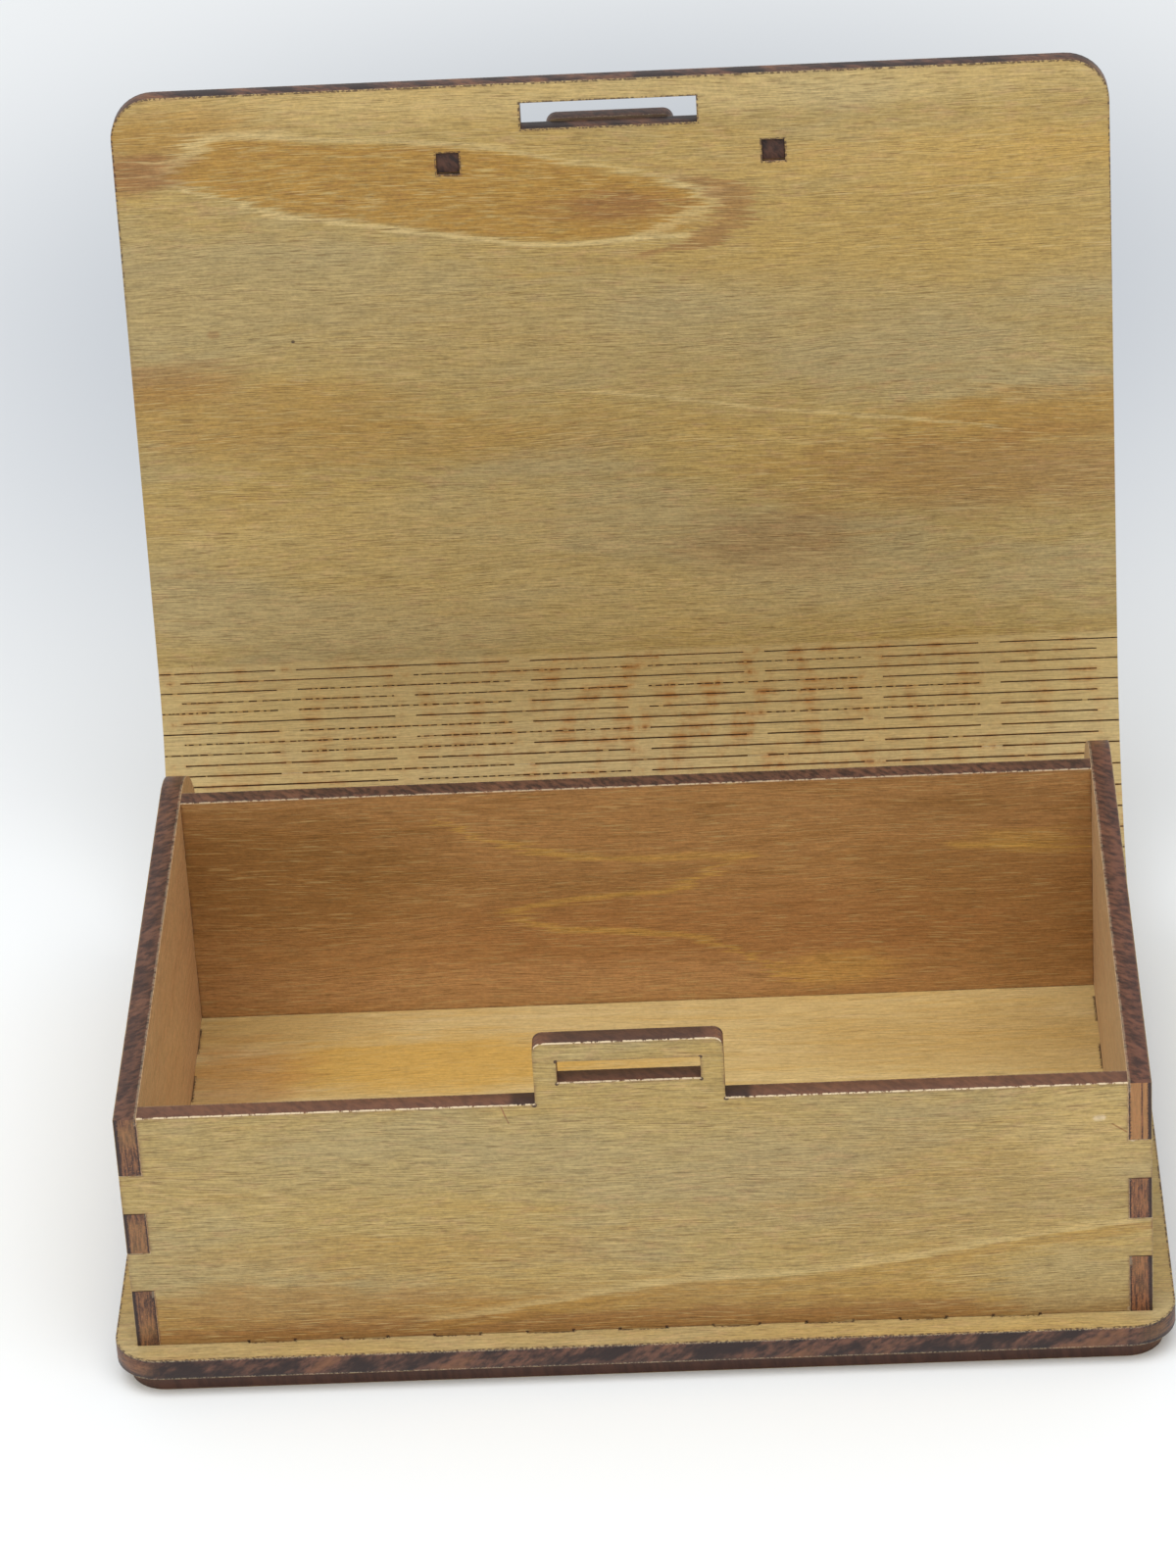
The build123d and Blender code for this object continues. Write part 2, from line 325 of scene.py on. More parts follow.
class Veneer:
    """The varnished face of a sheet, painted on its grain.

    A figure may set strength, how far the fine grain shows, and soot, how black the cuts are.
    """

    BEND = 5.0  # sway of the grain, in millimetres
    RAGGED_ALONG = 12.0  # how far the ends of a stain reach along the grain
    RAGGED_ACROSS = 1.8

    def __init__(self, nodes, place, look, shift, warmth, grain):
        self.nodes = nodes
        self.look = look
        self.u, self.v, self.depth = nodes.add("ShaderNodeSeparateXYZ", {0: place}).outputs

        warp = nodes.noise(place, (0.014, 0.05, 0.08), shift)
        bent = nodes.vector(0.0, nodes.times(nodes.offset(warp, 0.5), self.BEND))
        self.grainy = nodes.add("ShaderNodeVectorMath", {0: place, 1: bent}, operation="ADD").outputs[0]

        def grain_noise(number, scale, detail, roughness=0.5):
            """One of the grain's noises, with its scale along, across and through the sheet."""
            apart = (shift[0] + 13.7 * number, shift[1] - 7.9 * number, shift[2] + 5.3 * number)
            return nodes.noise(self.grainy, scale, apart, detail, roughness)

        self.patch = grain_noise(1, (0.02, 0.06, 0.05), 5.0, 0.6)
        self.streak = grain_noise(2, (0.05, 0.8, 0.4), 5.0, 0.65)
        self.fibre = grain_noise(3, (0.22, 6.6, 1.5), 3.0, 0.66)
        self.pore = grain_noise(4, (0.3, 7.2, 2.0), 1.0)
        self.hair = grain_noise(5, (0.25, 6.5, 2.0), 1.0)
        self.mottle = grain_noise(6, (1.5, 2.4, 0.9), 4.0, 0.7)
        self.ragged = grain_noise(7, (0.1, 0.55, 0.5), 4.0, 0.6)
        self.feather = grain_noise(8, (0.09, 2.8, 1.0), 3.0)
        blush = grain_noise(9, (0.35, 1.1, 0.6), 3.0)
        # Place with ragged ends along the grain, for the figures
        self.x = nodes.plus(self.u, nodes.times(nodes.offset(self.feather, 0.5), self.RAGGED_ALONG))
        self.y = nodes.plus(self.v, nodes.times(nodes.offset(self.ragged, 0.5), self.RAGGED_ACROSS))
        warm = nodes.plus(self.patch, warmth)
        self.colour = nodes.mix(nodes.step(warm, 0.36, 0.5), look.grey_tan, look.tan)
        self.paint(nodes.step(warm, 0.47, 0.62), look.gold, 0.7)
        self.paint(nodes.step(warm, 0.58, 0.76), look.amber, 0.5)
        self.paint(nodes.step(blush, 0.5, 0.7), look.rosy, 0.35)
        self.paint(nodes.step(self.streak, 0.5, 0.76), look.amber, 0.28)
        self.paint(nodes.step(self.streak, 0.46, 0.26), look.pale, 0.2)
        self.grain = grain
        self.strength = 1.0
        self.soot = 0.0

    def paint(self, mask, colour, weight):
        self.colour = self.nodes.mix(self.nodes.math("MULTIPLY", mask, weight), self.colour, colour)

    def oval(self, centre, size, y):
        """Mask of a ragged oval stain."""
        nodes = self.nodes
        far = nodes.away(nodes.offset(self.x, centre[0], size[0]), nodes.offset(y, centre[1], size[1]))
        far = nodes.plus(far, nodes.times(nodes.offset(self.ragged, 0.5), 1.6))
        return nodes.step(far, 1.5, 0.5)

    def stains(self, ovals, y=None, within=1.0):
        """Paints ragged ovals, each given by its centre, size, colour and weight."""
        y = self.y if y is None else y
        for centre, size, tint, weight in ovals:
            self.paint(self.nodes.times(self.oval(centre, size, y), within), tint, weight)

    def line(self, points, width, ends, y):
        """Mask of a thin wavy streak through points, from ends[0] to ends[1]."""
        nodes = self.nodes
        away = nodes.apart(y, nodes.curve(self.x, points, ALONG_GRAIN))
        thin = nodes.step(away, width, 0.15 * width)
        return nodes.times(thin, nodes.band(self.x, ends[0], ends[1], 3.0),
                           nodes.step(self.streak, 0.3, 0.5, start=0.45))

    def stroke(self, start, end, width, tint, weight, y=None):
        """Paints a thin straight mark from start to end."""
        nodes = self.nodes
        along = Vector(end) - Vector(start)
        length = along.length
        along = along / length
        x, y = nodes.offset(self.u, start[0]), nodes.offset(self.v if y is None else y, start[1])
        far = nodes.plus(nodes.times(x, along.x), nodes.times(y, along.y))
        near = nodes.smaller(nodes.larger(far, 0.0), length)
        away = nodes.away(nodes.minus(x, nodes.times(near, along.x)),
                          nodes.minus(y, nodes.times(near, along.y)))
        self.paint(nodes.step(away, width, 0.3 * width), tint, weight)

    def finish(self):
        """Adds the fine fibres, dark pores and pale hairs over the figures."""
        nodes = self.nodes
        rough = nodes.math("MULTIPLY_ADD", self.mottle, 0.7, nodes.times(self.fibre, 1.3))
        rough = nodes.times(nodes.offset(rough, 1.0), self.strength)
        shade = nodes.math("MULTIPLY_ADD", rough, 1.2 * self.grain, 1.0)
        self.colour = nodes.mix(1.0, self.colour, nodes.vector(shade, shade, shade), blend="MULTIPLY")
        for fleck, tint in ((self.pore, self.look.pore), (self.hair, self.look.pale)):
            self.paint(nodes.times(nodes.step(fleck, 0.6, 0.7), self.strength), tint, 0.5 * self.grain)
        return self.colour, nodes.minus(self.fibre, nodes.step(self.pore, 0.6, 0.74, to=0.5))


def cut_edge(nodes, place, burn, shift, lean, patches, rim, plain, golden):
    """Colour and height of a laser-cut edge: burnt, with striations that lean across the thickness."""
    u, v, depth = nodes.add("ShaderNodeSeparateXYZ", {0: place}).outputs
    slant = nodes.times(depth, lean)
    slanted = nodes.vector(nodes.plus(u, slant), nodes.plus(v, slant), depth)
    stripe = nodes.noise(slanted, (1.1, 1.1, 0.12), shift, detail=4.0, roughness=0.62)
    blotch = nodes.noise(slanted, (0.14, 0.14, 0.12), shift, detail=4.0, roughness=0.6)
    ply = nodes.noise(place, (0.35, 0.35, 3.4), shift, detail=4.0, roughness=0.7)
    speck = nodes.noise(place, (4.0, 4.0, 4.0), shift, detail=3.0)
    end = nodes.attribute("end_grain")
    tint = nodes.mix(nodes.step(stripe, 0.34, 0.64, start=plain), burn.char, burn.red_brown)
    tint = nodes.mix(nodes.times(nodes.step(blotch, 0.44, 0.58), patches), tint, burn.coal)
    tint = nodes.mix(nodes.times(nodes.step(blotch, 0.44, 0.34), 0.5 * patches), tint, burn.ember)
    core = nodes.band(nodes.math("MULTIPLY_ADD", speck, 0.6, depth), 0.75, 2.6, 0.3)
    grained = nodes.mix(nodes.step(ply, 0.4, 0.62), burn.char, burn.ember)
    lighter = nodes.step(nodes.noise(place, (0.1, 0.1, 0.1), shift), 0.5, 0.62, to=0.25)
    if golden:
        far = nodes.away(nodes.offset(u, golden[0], 2.0), nodes.offset(v, golden[1], 4.6))
        crack = nodes.step(nodes.apart(depth, 1.75), 0.07, 0.15)
        lighter = nodes.larger(lighter, nodes.times(nodes.step(far, 1.15, 1.0, to=0.6), crack))
    grained = nodes.mix(lighter, grained, burn.blond)
    grained = nodes.mix(nodes.step(speck, 0.54, 0.68, to=0.45), grained, burn.glow)
    tint = nodes.mix(nodes.times(end, nodes.minus(1.0, core), 0.85), tint, burn.coal)
    tint = nodes.mix(nodes.times(end, core, 0.8), tint, grained)
    dust = nodes.step(speck, 0.42, 0.6)
    outer = nodes.larger(nodes.step(depth, 0.3, 0.16), nodes.step(depth, SHEET - 0.3, SHEET - 0.16))
    outer = nodes.times(outer, nodes.minus(1.0, end))
    tint = nodes.mix(nodes.times(outer, dust, rim), tint, burn.fuzz)
    return tint, nodes.plus(stripe, nodes.times(ply, 0.5))


def plywood(name, look, burn, shift, tone=WHITE, burnt=WHITE, warmth=0.0, grain=1.0, figure=None,
            lean=0.6, patches=0.35, rim=0.25, plain=0.0, golden=None, fringe=0.0, singe=0.0):
    """Material of a plywood piece.

    Shift keeps its noises apart from those of other pieces. Tone multiplies the veneer, warmth makes
    more of it golden, grain is how strong the fine grain is, and figure paints the piece's own marks.
    The rest is for the cuts. Burnt multiplies their colour, lean slants their striations, plain fades
    these, patches are nearly black, and rim is the dust near the faces. Golden is the place of a
    lighter, cracked end. Fringe is the torn fibres on the upper arris, and singe the dark dots beside a cut.
    """
    material, nodes, shader = new_material(name, look.roughness, specular=0.35)
    place, scorch = nodes.attribute("sheet", "Vector"), nodes.attribute("scorch")
    veneer = Veneer(nodes, place, look, shift, warmth, grain)
    if figure:
        figure(veneer, look, burn)
    face, height = veneer.finish()
    face = nodes.mix(1.0, face, tone, blend="MULTIPLY")
    uneven = nodes.noise(place, (0.8, 0.8, 0.8), shift, detail=4.0, roughness=0.6)
    halo = nodes.times(nodes.math("POWER", scorch, 2.5), nodes.step(uneven, 0.3, 0.7))
    face = nodes.mix(nodes.times(halo, 0.6), face, burn.red_brown)
    if singe:
        dots = nodes.noise(place, (2.2, 2.2, 2.2), shift, detail=2.0)
        beside = nodes.times(nodes.step(scorch, 0.62, 0.8), nodes.step(dots, 0.45, 0.56), singe)
        face = nodes.mix(beside, face, burn.char)
    edge, edge_height = cut_edge(nodes, place, burn, shift, lean, patches, rim, plain, golden)
    edge = nodes.mix(veneer.soot, nodes.mix(1.0, edge, burnt, blend="MULTIPLY"), burn.coal)
    inside = nodes.band(veneer.depth, 0.12, SHEET - 0.12, 0.08)
    tint = nodes.mix(inside, face, edge)
    if fringe:
        tear = nodes.noise(place, (2.0, 0.9, 0.9), shift, detail=3.0, roughness=0.7)
        torn = nodes.step(nodes.plus(nodes.attribute("crest"), tear), 1.4, 1.48)
        ragged = nodes.minus(veneer.depth, nodes.times(tear, 0.4))
        torn = nodes.times(torn, nodes.step(ragged, 0.18, 0.08), nodes.step(uneven, 0.32, 0.44), fringe)
        tint = nodes.mix(torn, tint, burn.fuzz)
    nodes.feed(shader, "Base Color", tint)
    relief = nodes.add("ShaderNodeMix", {0: inside, 2: height, 3: edge_height}, data_type="FLOAT")
    bump = nodes.add("ShaderNodeBump", {"Strength": 0.4, "Distance": 0.00012, "Height": relief.outputs[0]})
    nodes.feed(shader, "Normal", bump.outputs[0])
    shader.inputs["Coat Weight"].default_value = 0.08
    shader.inputs["Coat Roughness"].default_value = 0.35
    return material


def sheet_place(origin, along, across, into, start=(0.0, 0.0, 0.0)):
    """Where a piece lies in its sheet: an origin, three axes and the sheet place of the origin."""
    return Vector(origin), Vector(along), Vector(across), Vector(into), Vector(start)


def dressed_sheet(name, node, place, material, arris, scorch_width, seam=None):
    """A copy of a cut sheet with softened arrises and a band beside its cuts for the scorch.

    Seam is the height in the sheet of a row of slits that is left sharp and clean.
    """
    origin, along, across, into, start = place
    bm = bmesh.new()
    bm.from_mesh(frame["nodes"][node].data)
    bmesh.ops.remove_doubles(bm, verts=bm.verts, dist=WELD)
    bmesh.ops.dissolve_limit(bm, angle_limit=FLAT_ANGLE, verts=bm.verts, edges=bm.edges)

    def veneered(face):
        return abs(face.normal.dot(into)) > FACE_ON

    def in_seam(point):
        height = (point - origin).dot(across) / MM + start.y
        return seam is not None and abs(height - seam) < SEAM_REACH

    if arris:
        rim = [e for e in bm.edges
               if len(e.link_faces) == 2 and veneered(e.link_faces[0]) != veneered(e.link_faces[1])
               and not all(in_seam(v.co) for v in e.verts)]
        bmesh.ops.bevel(bm, geom=rim, offset=arris, offset_type="OFFSET", segments=2, profile=0.5,
                        affect="EDGES", material=-1, clamp_overlap=True)
        bm.normal_update()
    if scorch_width:
        bmesh.ops.inset_region(bm, faces=[f for f in bm.faces if veneered(f)], use_boundary=True,
                               use_even_offset=True, thickness=scorch_width, depth=0.0)
        bm.normal_update()
    sheet = bm.verts.layers.float_vector.new("sheet")
    scorch = bm.verts.layers.float.new("scorch")
    crest = bm.verts.layers.float.new("crest")
    end_grain = bm.faces.layers.float.new("end_grain")
    for vert in bm.verts:
        offset = vert.co - origin
        vert[sheet] = Vector((offset.dot(along), offset.dot(across), offset.dot(into))) / MM + start
        cuts = [f for f in vert.link_faces if not veneered(f)]
        vert[scorch] = 1.0 if cuts and scorch_width and not in_seam(vert.co) else 0.0
        vert[crest] = 1.0 if any(f.normal.dot(across) > UPWARDS for f in cuts) else 0.0
    for face in bm.faces:
        face[end_grain] = abs(face.normal.dot(along))
        face.smooth = not veneered(face)
    for edge in bm.edges:
        edge.smooth = len(edge.link_faces) == 2 and edge.calc_face_angle(0.0) < SHARP_ANGLE
    return finished(bm, name, material, frame["nodes"][node]["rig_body"], [node])


def new_object(name, data):
    """A new object in the scene."""
    thing = bpy.data.objects.new(name, data)
    bpy.context.scene.collection.objects.link(thing)
    return thing


def meshed(bm, name, material):
    """Turns a bmesh into a new object with one material."""
    mesh = bpy.data.meshes.new(name)
    bm.to_mesh(mesh)
    bm.free()
    mesh.materials.append(material)
    return new_object(name, mesh)


def finished(bm, name, material, body, stands_for=()):
    """Turns a bmesh into a piece that rides on a body."""
    piece = meshed(bm, name, material)
    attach(piece, body)
    if stands_for:
        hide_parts(*stands_for)
    return piece


# Places of the pieces in the frame
floor_low, floor_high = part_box("base_cover")
HINGE_START = (LINES[0].y - floor_low.y) / MM
STRIP = (LINES[1] - LINES[0]).length / MM
HALF = STRIP / 2
LID_DIRECTION = Vector(JOINTS["latch_slide"]["axis"]).normalized()
STRIP_DIRECTIONS = [(b - a).normalized() for a, b in zip(LINES, LINES[1:])] + [LID_DIRECTION]
HINGE_END = HINGE_START + STRIP * (len(LINES) - 1)
COVER_END = HINGE_END + max(
    (Vector(v.co) - LINES[-1]).dot(LID_DIRECTION) for v in frame["nodes"]["lid"].data.vertices) / MM
# A row of slits has four cells, each with a slit and a bridge
CELL = ((floor_high.x - floor_low.x) / MM - BRIDGE) / 4


def outwards(direction):
    """Direction from the inner face of the cover to its outer face."""
    return Vector((0, direction.z, -direction.y))


def cover_place(number):
    """Place of the floor (0), a hinge strip (1 and up) or the lid in the cover sheet."""
    if number == 0:
        return sheet_place((0, floor_low.y, floor_high.z), ACROSS, (0, 1, 0), (0, 0, -1))
    direction = STRIP_DIRECTIONS[number - 1]
    return sheet_place(LINES[number - 1], ACROSS, direction, outwards(direction),
                       (0, HINGE_START + STRIP * (number - 1), 0))


def slit_burn(nodes, u, v):
    """Closeness to a slit row, 1 where that row is cut, and 1 inside the hinge."""
    place = nodes.offset(v, HINGE_START, HALF)
    row = nodes.math("ROUND", place)
    near = nodes.minus(1.0, nodes.times(nodes.apart(place, row), 2.0))
    odd = nodes.math("FLOORED_MODULO", row, 2.0)
    # Odd rows are half a cell along, so that a bridge is always at the middle of a cell
    cell = nodes.plus(nodes.math("DIVIDE", u, CELL), nodes.times(odd, 0.5))
    cell = nodes.math("FLOORED_MODULO", cell, 1.0)
    half_bridge = 0.5 * BRIDGE / CELL
    cut = nodes.step(nodes.apart(cell, 0.5), half_bridge - 0.01, half_bridge + 0.01)
    inside = nodes.band(v, HINGE_START - 0.6, HINGE_END + 0.6, 0.8)
    return near, nodes.times(cut, inside), inside


def lid_figure(veneer, look, burn):
    """The lid's loop of pale lines, its bands and its spots. Heights are measured from the free edge."""
    nodes = veneer.nodes
    from_edge = nodes.minus(COVER_END, veneer.v)
    y = nodes.minus(COVER_END, veneer.y)
    veneer.stains((
        ((0.0, 1.5), (80.0, 3.5), look.pale, 0.45),
        ((-60.0, 4.5), (14.0, 4.0), look.amber, 0.4),
        ((45.0, 26.0), (34.0, 6.5), look.gold, 0.7),
        ((50.0, 12.5), (36.0, 4.0), look.honey, 0.3),
        ((-50.0, 29.0), (34.0, 8.0), look.grey_tan, 0.7),
        ((4.0, 37.0), (60.0, 7.0), look.grey_tan, 0.45),
        ((-62.0, 5.5), (10.0, 3.0), look.amber, 0.5),
        ((-66.0, 42.0), (11.0, 3.2), look.brown, 0.5),
        ((-56.0, 46.5), (26.0, 4.5), look.amber, 0.45),
        ((-30.0, 52.0), (34.0, 3.4), look.amber, 0.4),
        ((60.0, 52.0), (22.0, 4.0), look.amber, 0.65),
        ((52.0, 60.0), (26.0, 6.0), look.brown, 0.45),
        ((20.0, 70.0), (12.0, 5.0), look.brown, 0.36),
        ((-10.0, 78.0), (66.0, 6.0), look.pale, 0.3),
        ((-30.0, 66.0), (36.0, 6.0), look.pale, 0.25)), y)
    # Loop: an amber heart inside thin pale lines, with wide pale hooks at both ends
    upper = nodes.curve(veneer.x, [
        (-62.8, 11.4), (-60.2, 9.5), (-57.5, 7.2), (-55.0, 5.9), (-50.0, 5.8), (-44.5, 6.5), (-27.3, 7.8),
        (-15.9, 9.1), (-6.9, 11.3), (5.2, 14.1), (12.5, 16.3)], ALONG_GRAIN)
    lower = nodes.curve(veneer.x, [
        (-62.8, 11.3), (-59.4, 12.7), (-55.0, 14.7), (-49.3, 16.7), (-42.5, 18.3), (-33.9, 19.8),
        (-16.7, 22.8), (-10.9, 23.6), (-2.2, 23.6), (5.3, 23.2)], ALONG_GRAIN)
    hook = nodes.curve(y, [
        (15.2, 75.0), (16.3, 82.5), (17.4, 83.6), (19.2, 81.8), (21.4, 78.2), (23.4, 73.0)], ACROSS_LOOP)
    from_left = nodes.minus(veneer.x, ALONG_GRAIN[0])
    before_hook = nodes.minus(hook, from_left)
    depth = nodes.smaller(nodes.minus(from_edge, upper), nodes.minus(lower, from_edge))
    ends = nodes.times(nodes.step(veneer.x, -63.0, -61.0), nodes.step(veneer.x, 13.5, 9.0))
    heart = nodes.times(nodes.step(depth, 0.1, 1.2), ends)
    rust = nodes.noise(veneer.grainy, (0.22, 1.3, 1.0), (4.0, 2.0, 8.0), detail=4.0, roughness=0.65)
    veneer.paint(heart, look.gold, 0.4)
    veneer.paint(nodes.times(heart, nodes.step(rust, 0.28, 0.5)), look.amber, 0.85)
    veneer.paint(nodes.times(heart, nodes.step(rust, 0.52, 0.7)), look.brown, 0.5)
    dark = nodes.times(veneer.oval((0.5, 18.4), (9.0, 2.0), y), nodes.step(rust, 0.3, 0.5))
    veneer.paint(nodes.times(dark, nodes.step(before_hook, 1.5, 3.5)), look.brown, 0.75)
    gleam = nodes.step(veneer.feather, 0.34, 0.56, start=0.65)
    for line, start, end, weight in ((upper, -52.0, 14.0, 0.55), (lower, -64.0, 8.0, 0.85)):
        thin = nodes.step(nodes.apart(from_edge, line), 0.5, 0.12)
        veneer.paint(nodes.times(thin, nodes.band(veneer.x, start, end, 5.0), gleam), look.pale, weight)
    left = nodes.offset(veneer.x, nodes.math("MULTIPLY_ADD", from_edge, -1.35, -47.4))
    for along, across, weight in (
            (nodes.band(left, -1.2, 1.2, 1.5), nodes.band(from_edge, 6.2, 11.8, 0.8), 0.8),
            (nodes.band(veneer.x, -56.0, -46.0, 4.0), nodes.band(y, 5.4, 6.4, 0.6), 0.5),
            (nodes.band(before_hook, -0.9, 1.4, 1.6), nodes.band(y, 16.2, 23.2, 0.9), 0.6)):
        veneer.paint(nodes.times(along, across, gleam), look.pale, weight)
    middle = nodes.curve(y, [
        (14.6, 81.2), (15.7, 84.2), (17.2, 86.0), (19.1, 86.4), (21.5, 85.6), (23.2, 83.5), (24.6, 80.8),
        (26.0, 74.3)], ACROSS_LOOP)
    crescent = nodes.times(nodes.band(nodes.minus(middle, from_left), -2.2, 2.2, 1.4),
                           nodes.band(y, 15.2, 25.2, 1.2))
    veneer.paint(nodes.times(crescent, nodes.step(veneer.ragged, 0.3, 0.5, start=0.6)), look.brown, 0.62)
    veneer.paint(veneer.oval((-66.0, 11.0), (7.0, 2.6), y), look.brown, 0.85)
    # The thin pale streak, a pin knot and a rub
    points = [(-5.0, 45.7), (22.5, 49.6), (45.0, 52.3), (58.0, 54.4)]
    streak = veneer.line(points, 0.4, (-4.0, 52.0), from_edge)
    veneer.paint(streak, look.pale, 0.6)
    veneer.stroke((-45.6, 36.4), (-45.5, 36.4), 0.32, burn.char, 0.9, from_edge)
    veneer.stroke((-56.9, 34.9), (-56.2, 34.9), 0.8, look.brown, 0.45, from_edge)
    veneer.stroke((-63.6, 85.3), (-63.3, 86.9), 0.2, look.brown, 0.7, from_edge)
    veneer.stroke((-63.3, 86.9), (-62.4, 88.2), 0.2, look.brown, 0.8, from_edge)


def cover_figure(veneer, look, burn):
    """Figure of the cover sheet: the floor's golden wash, which is partly painted light from above, the
    hinge's smoke stains and the lid's loop.
    """
    nodes = veneer.nodes
    lid_figure(veneer, look, burn)
    # The box floor is painted paler and more golden than the lid: partly veneer figure, partly painted light
    # from above
    floor = nodes.times(nodes.band(veneer.v, 5.0, HINGE_START - 5.0, 1.0),
                        nodes.step(nodes.math("ABSOLUTE", veneer.u), 64.0, 63.0))
    veneer.paint(floor, look.golden_wash_and_painted_light, 0.68)
    veneer.paint(nodes.times(nodes.step(veneer.streak, 0.48, 0.66), floor), look.honey, 0.3)
    veneer.paint(nodes.times(nodes.step(veneer.streak, 0.46, 0.3), floor), look.fair, 0.4)
    strip = nodes.times(nodes.minus(1.0, floor), nodes.step(veneer.v, HINGE_START, HINGE_START - 6.0))
    veneer.paint(strip, look.fair, 0.15)
    veneer.stains((
        ((-30.0, 67.5), (30.0, 6.5), look.honey, 0.9),
        ((-56.0, 66.0), (9.0, 9.0), look.russet, 0.4),
        ((-52.0, 78.0), (16.0, 4.0), look.amber, 0.35),
        ((44.0, 69.0), (24.0, 7.0), look.amber, 0.3)), within=floor)
    near, cut, inside = slit_burn(nodes, veneer.u, veneer.v)
    smoke = nodes.noise(veneer.grainy, (0.27, 0.2, 0.4), (5.0, 1.0, 0.0), detail=4.0, roughness=0.6)
    # The smoke is thickest near the middle of the hinge
    far = nodes.away(nodes.offset(veneer.u, 12.0, 34.0), nodes.offset(veneer.v, HINGE_START + 46.0, 24.0))
    thick = nodes.times(nodes.step(far, 1.5, 0.2, start=0.5), inside)
    veneer.strength = nodes.minus(1.0, nodes.larger(nodes.times(floor, 0.3), nodes.times(inside, 0.35)))
    veneer.paint(inside, look.pale, 0.62)
    for stained, beside, where, tint, weight in (
            (nodes.step(smoke, 0.44, 0.68), nodes.step(near, 0.0, 0.9, start=0.45), thick, burn.stain, 0.6),
            (nodes.step(smoke, 0.53, 0.7), nodes.step(near, 0.3, 0.9), thick, burn.stain, 0.75),
            (nodes.step(smoke, 0.58, 0.66), nodes.step(near, 0.72, 0.95), inside, burn.scald, 0.6),
            (nodes.step(smoke, 0.4, 0.6, start=0.3), nodes.step(near, 0.66, 0.95), cut, burn.stain, 0.5)):
        veneer.paint(nodes.times(stained, beside, where), tint, weight)


def front_figure(veneer, look, burn):
    """Figure of the front wall: a pale wavy streak, the browned foot and the burns in the corners."""
    nodes = veneer.nodes
    veneer.stains((
        ((-30.0, 13.0), (30.0, 3.0), look.amber, 0.3),
        ((-44.0, 4.5), (30.0, 4.6), look.amber, 0.5),
        ((-30.0, 3.5), (46.0, 4.4), look.brown, 0.3),
        ((20.0, 3.0), (56.0, 3.6), look.amber, 0.5),
        ((0.0, 1.0), (80.0, 2.2), look.brown, 0.7),
        ((-10.0, 8.5), (16.0, 2.0), look.gold, 0.5),
        ((56.0, 5.0), (12.0, 5.0), look.grey_tan, 0.7),
        ((36.0, 22.0), (26.0, 11.0), look.brown, 0.14),
        ((58.0, 28.0), (9.0, 6.0), look.pale, 0.3),
        ((-20.0, 28.0), (50.0, 6.0), look.grey_tan, 0.4)))
    middle = nodes.curve(veneer.x, [
        (-28.5, 2.4), (-18.0, 3.4), (-6.9, 5.4), (6.0, 7.2), (18.4, 7.6), (31.0, 9.0), (43.5, 11.2),
        (55.0, 12.9), (65.5, 14.2)], ALONG_GRAIN)
    rise = nodes.minus(veneer.v, middle)
    along = nodes.step(veneer.x, -32.0, -24.0)
    silk = nodes.times(nodes.step(rise, -0.4, 0.1), nodes.step(rise, 1.6, 0.1), along)
    veneer.paint(silk, look.pale, 0.5)
    veneer.paint(nodes.times(nodes.band(rise, -1.6, -0.5, 0.4), along), look.amber, 0.35)
    # Burns at the corners of the fingers in the floor, of the tab and of its slot
    finger = nodes.plus(nodes.math("DIVIDE", veneer.u, FINGER), 0.5)
    corner = nodes.apart(nodes.math("FLOORED_MODULO", finger, 1.0), 0.5)
    mark = nodes.times(nodes.step(corner, 0.46, 0.475), nodes.step(veneer.v, 0.4, 0.25))
    side = nodes.math("ABSOLUTE", veneer.u)
    veneer.paint(nodes.times(mark, nodes.step(side, 52.0, 51.5)), burn.soot, 0.9)
    for x, y, size in ((12.1, 34.95, 0.36), (9.1, 38.05, 0.28), (9.1, 41.35, 0.28)):
        far = nodes.away(nodes.offset(side, x, size), nodes.offset(veneer.v, y, size))
        veneer.paint(nodes.step(far, 1.1, 0.7), burn.soot, 0.9)
    tab_top = nodes.times(nodes.step(veneer.v, 43.0, 43.5), nodes.step(side, 10.6, 8.8, to=0.5))
    beside_tab = nodes.times(nodes.band(side, 12.0, 14.6, 1.2), nodes.step(veneer.v, 36.5, 36.0, to=0.75))
    veneer.soot = nodes.larger(tab_top, beside_tab)
    # A short crack, a pale nick, a scratch and two flecks of dried glue
    veneer.stroke((-16.3, 34.9), (-15.9, 33.5), 0.14, burn.ember, 0.9)
    veneer.stroke((-15.9, 33.5), (-15.5, 32.4), 0.12, burn.ember, 0.8)
    veneer.stroke((58.5, 29.9), (59.3, 30.0), 0.6, burn.fuzz, 0.7)
    veneer.stroke((60.5, 29.0), (62.3, 27.7), 0.16, look.brown, 0.8)
    veneer.stroke((62.5, 0.45), (63.1, 0.4), 0.42, burn.fuzz, 0.95)
    veneer.stroke((62.9, 26.5), (63.1, 26.4), 0.3, burn.fuzz, 0.9)


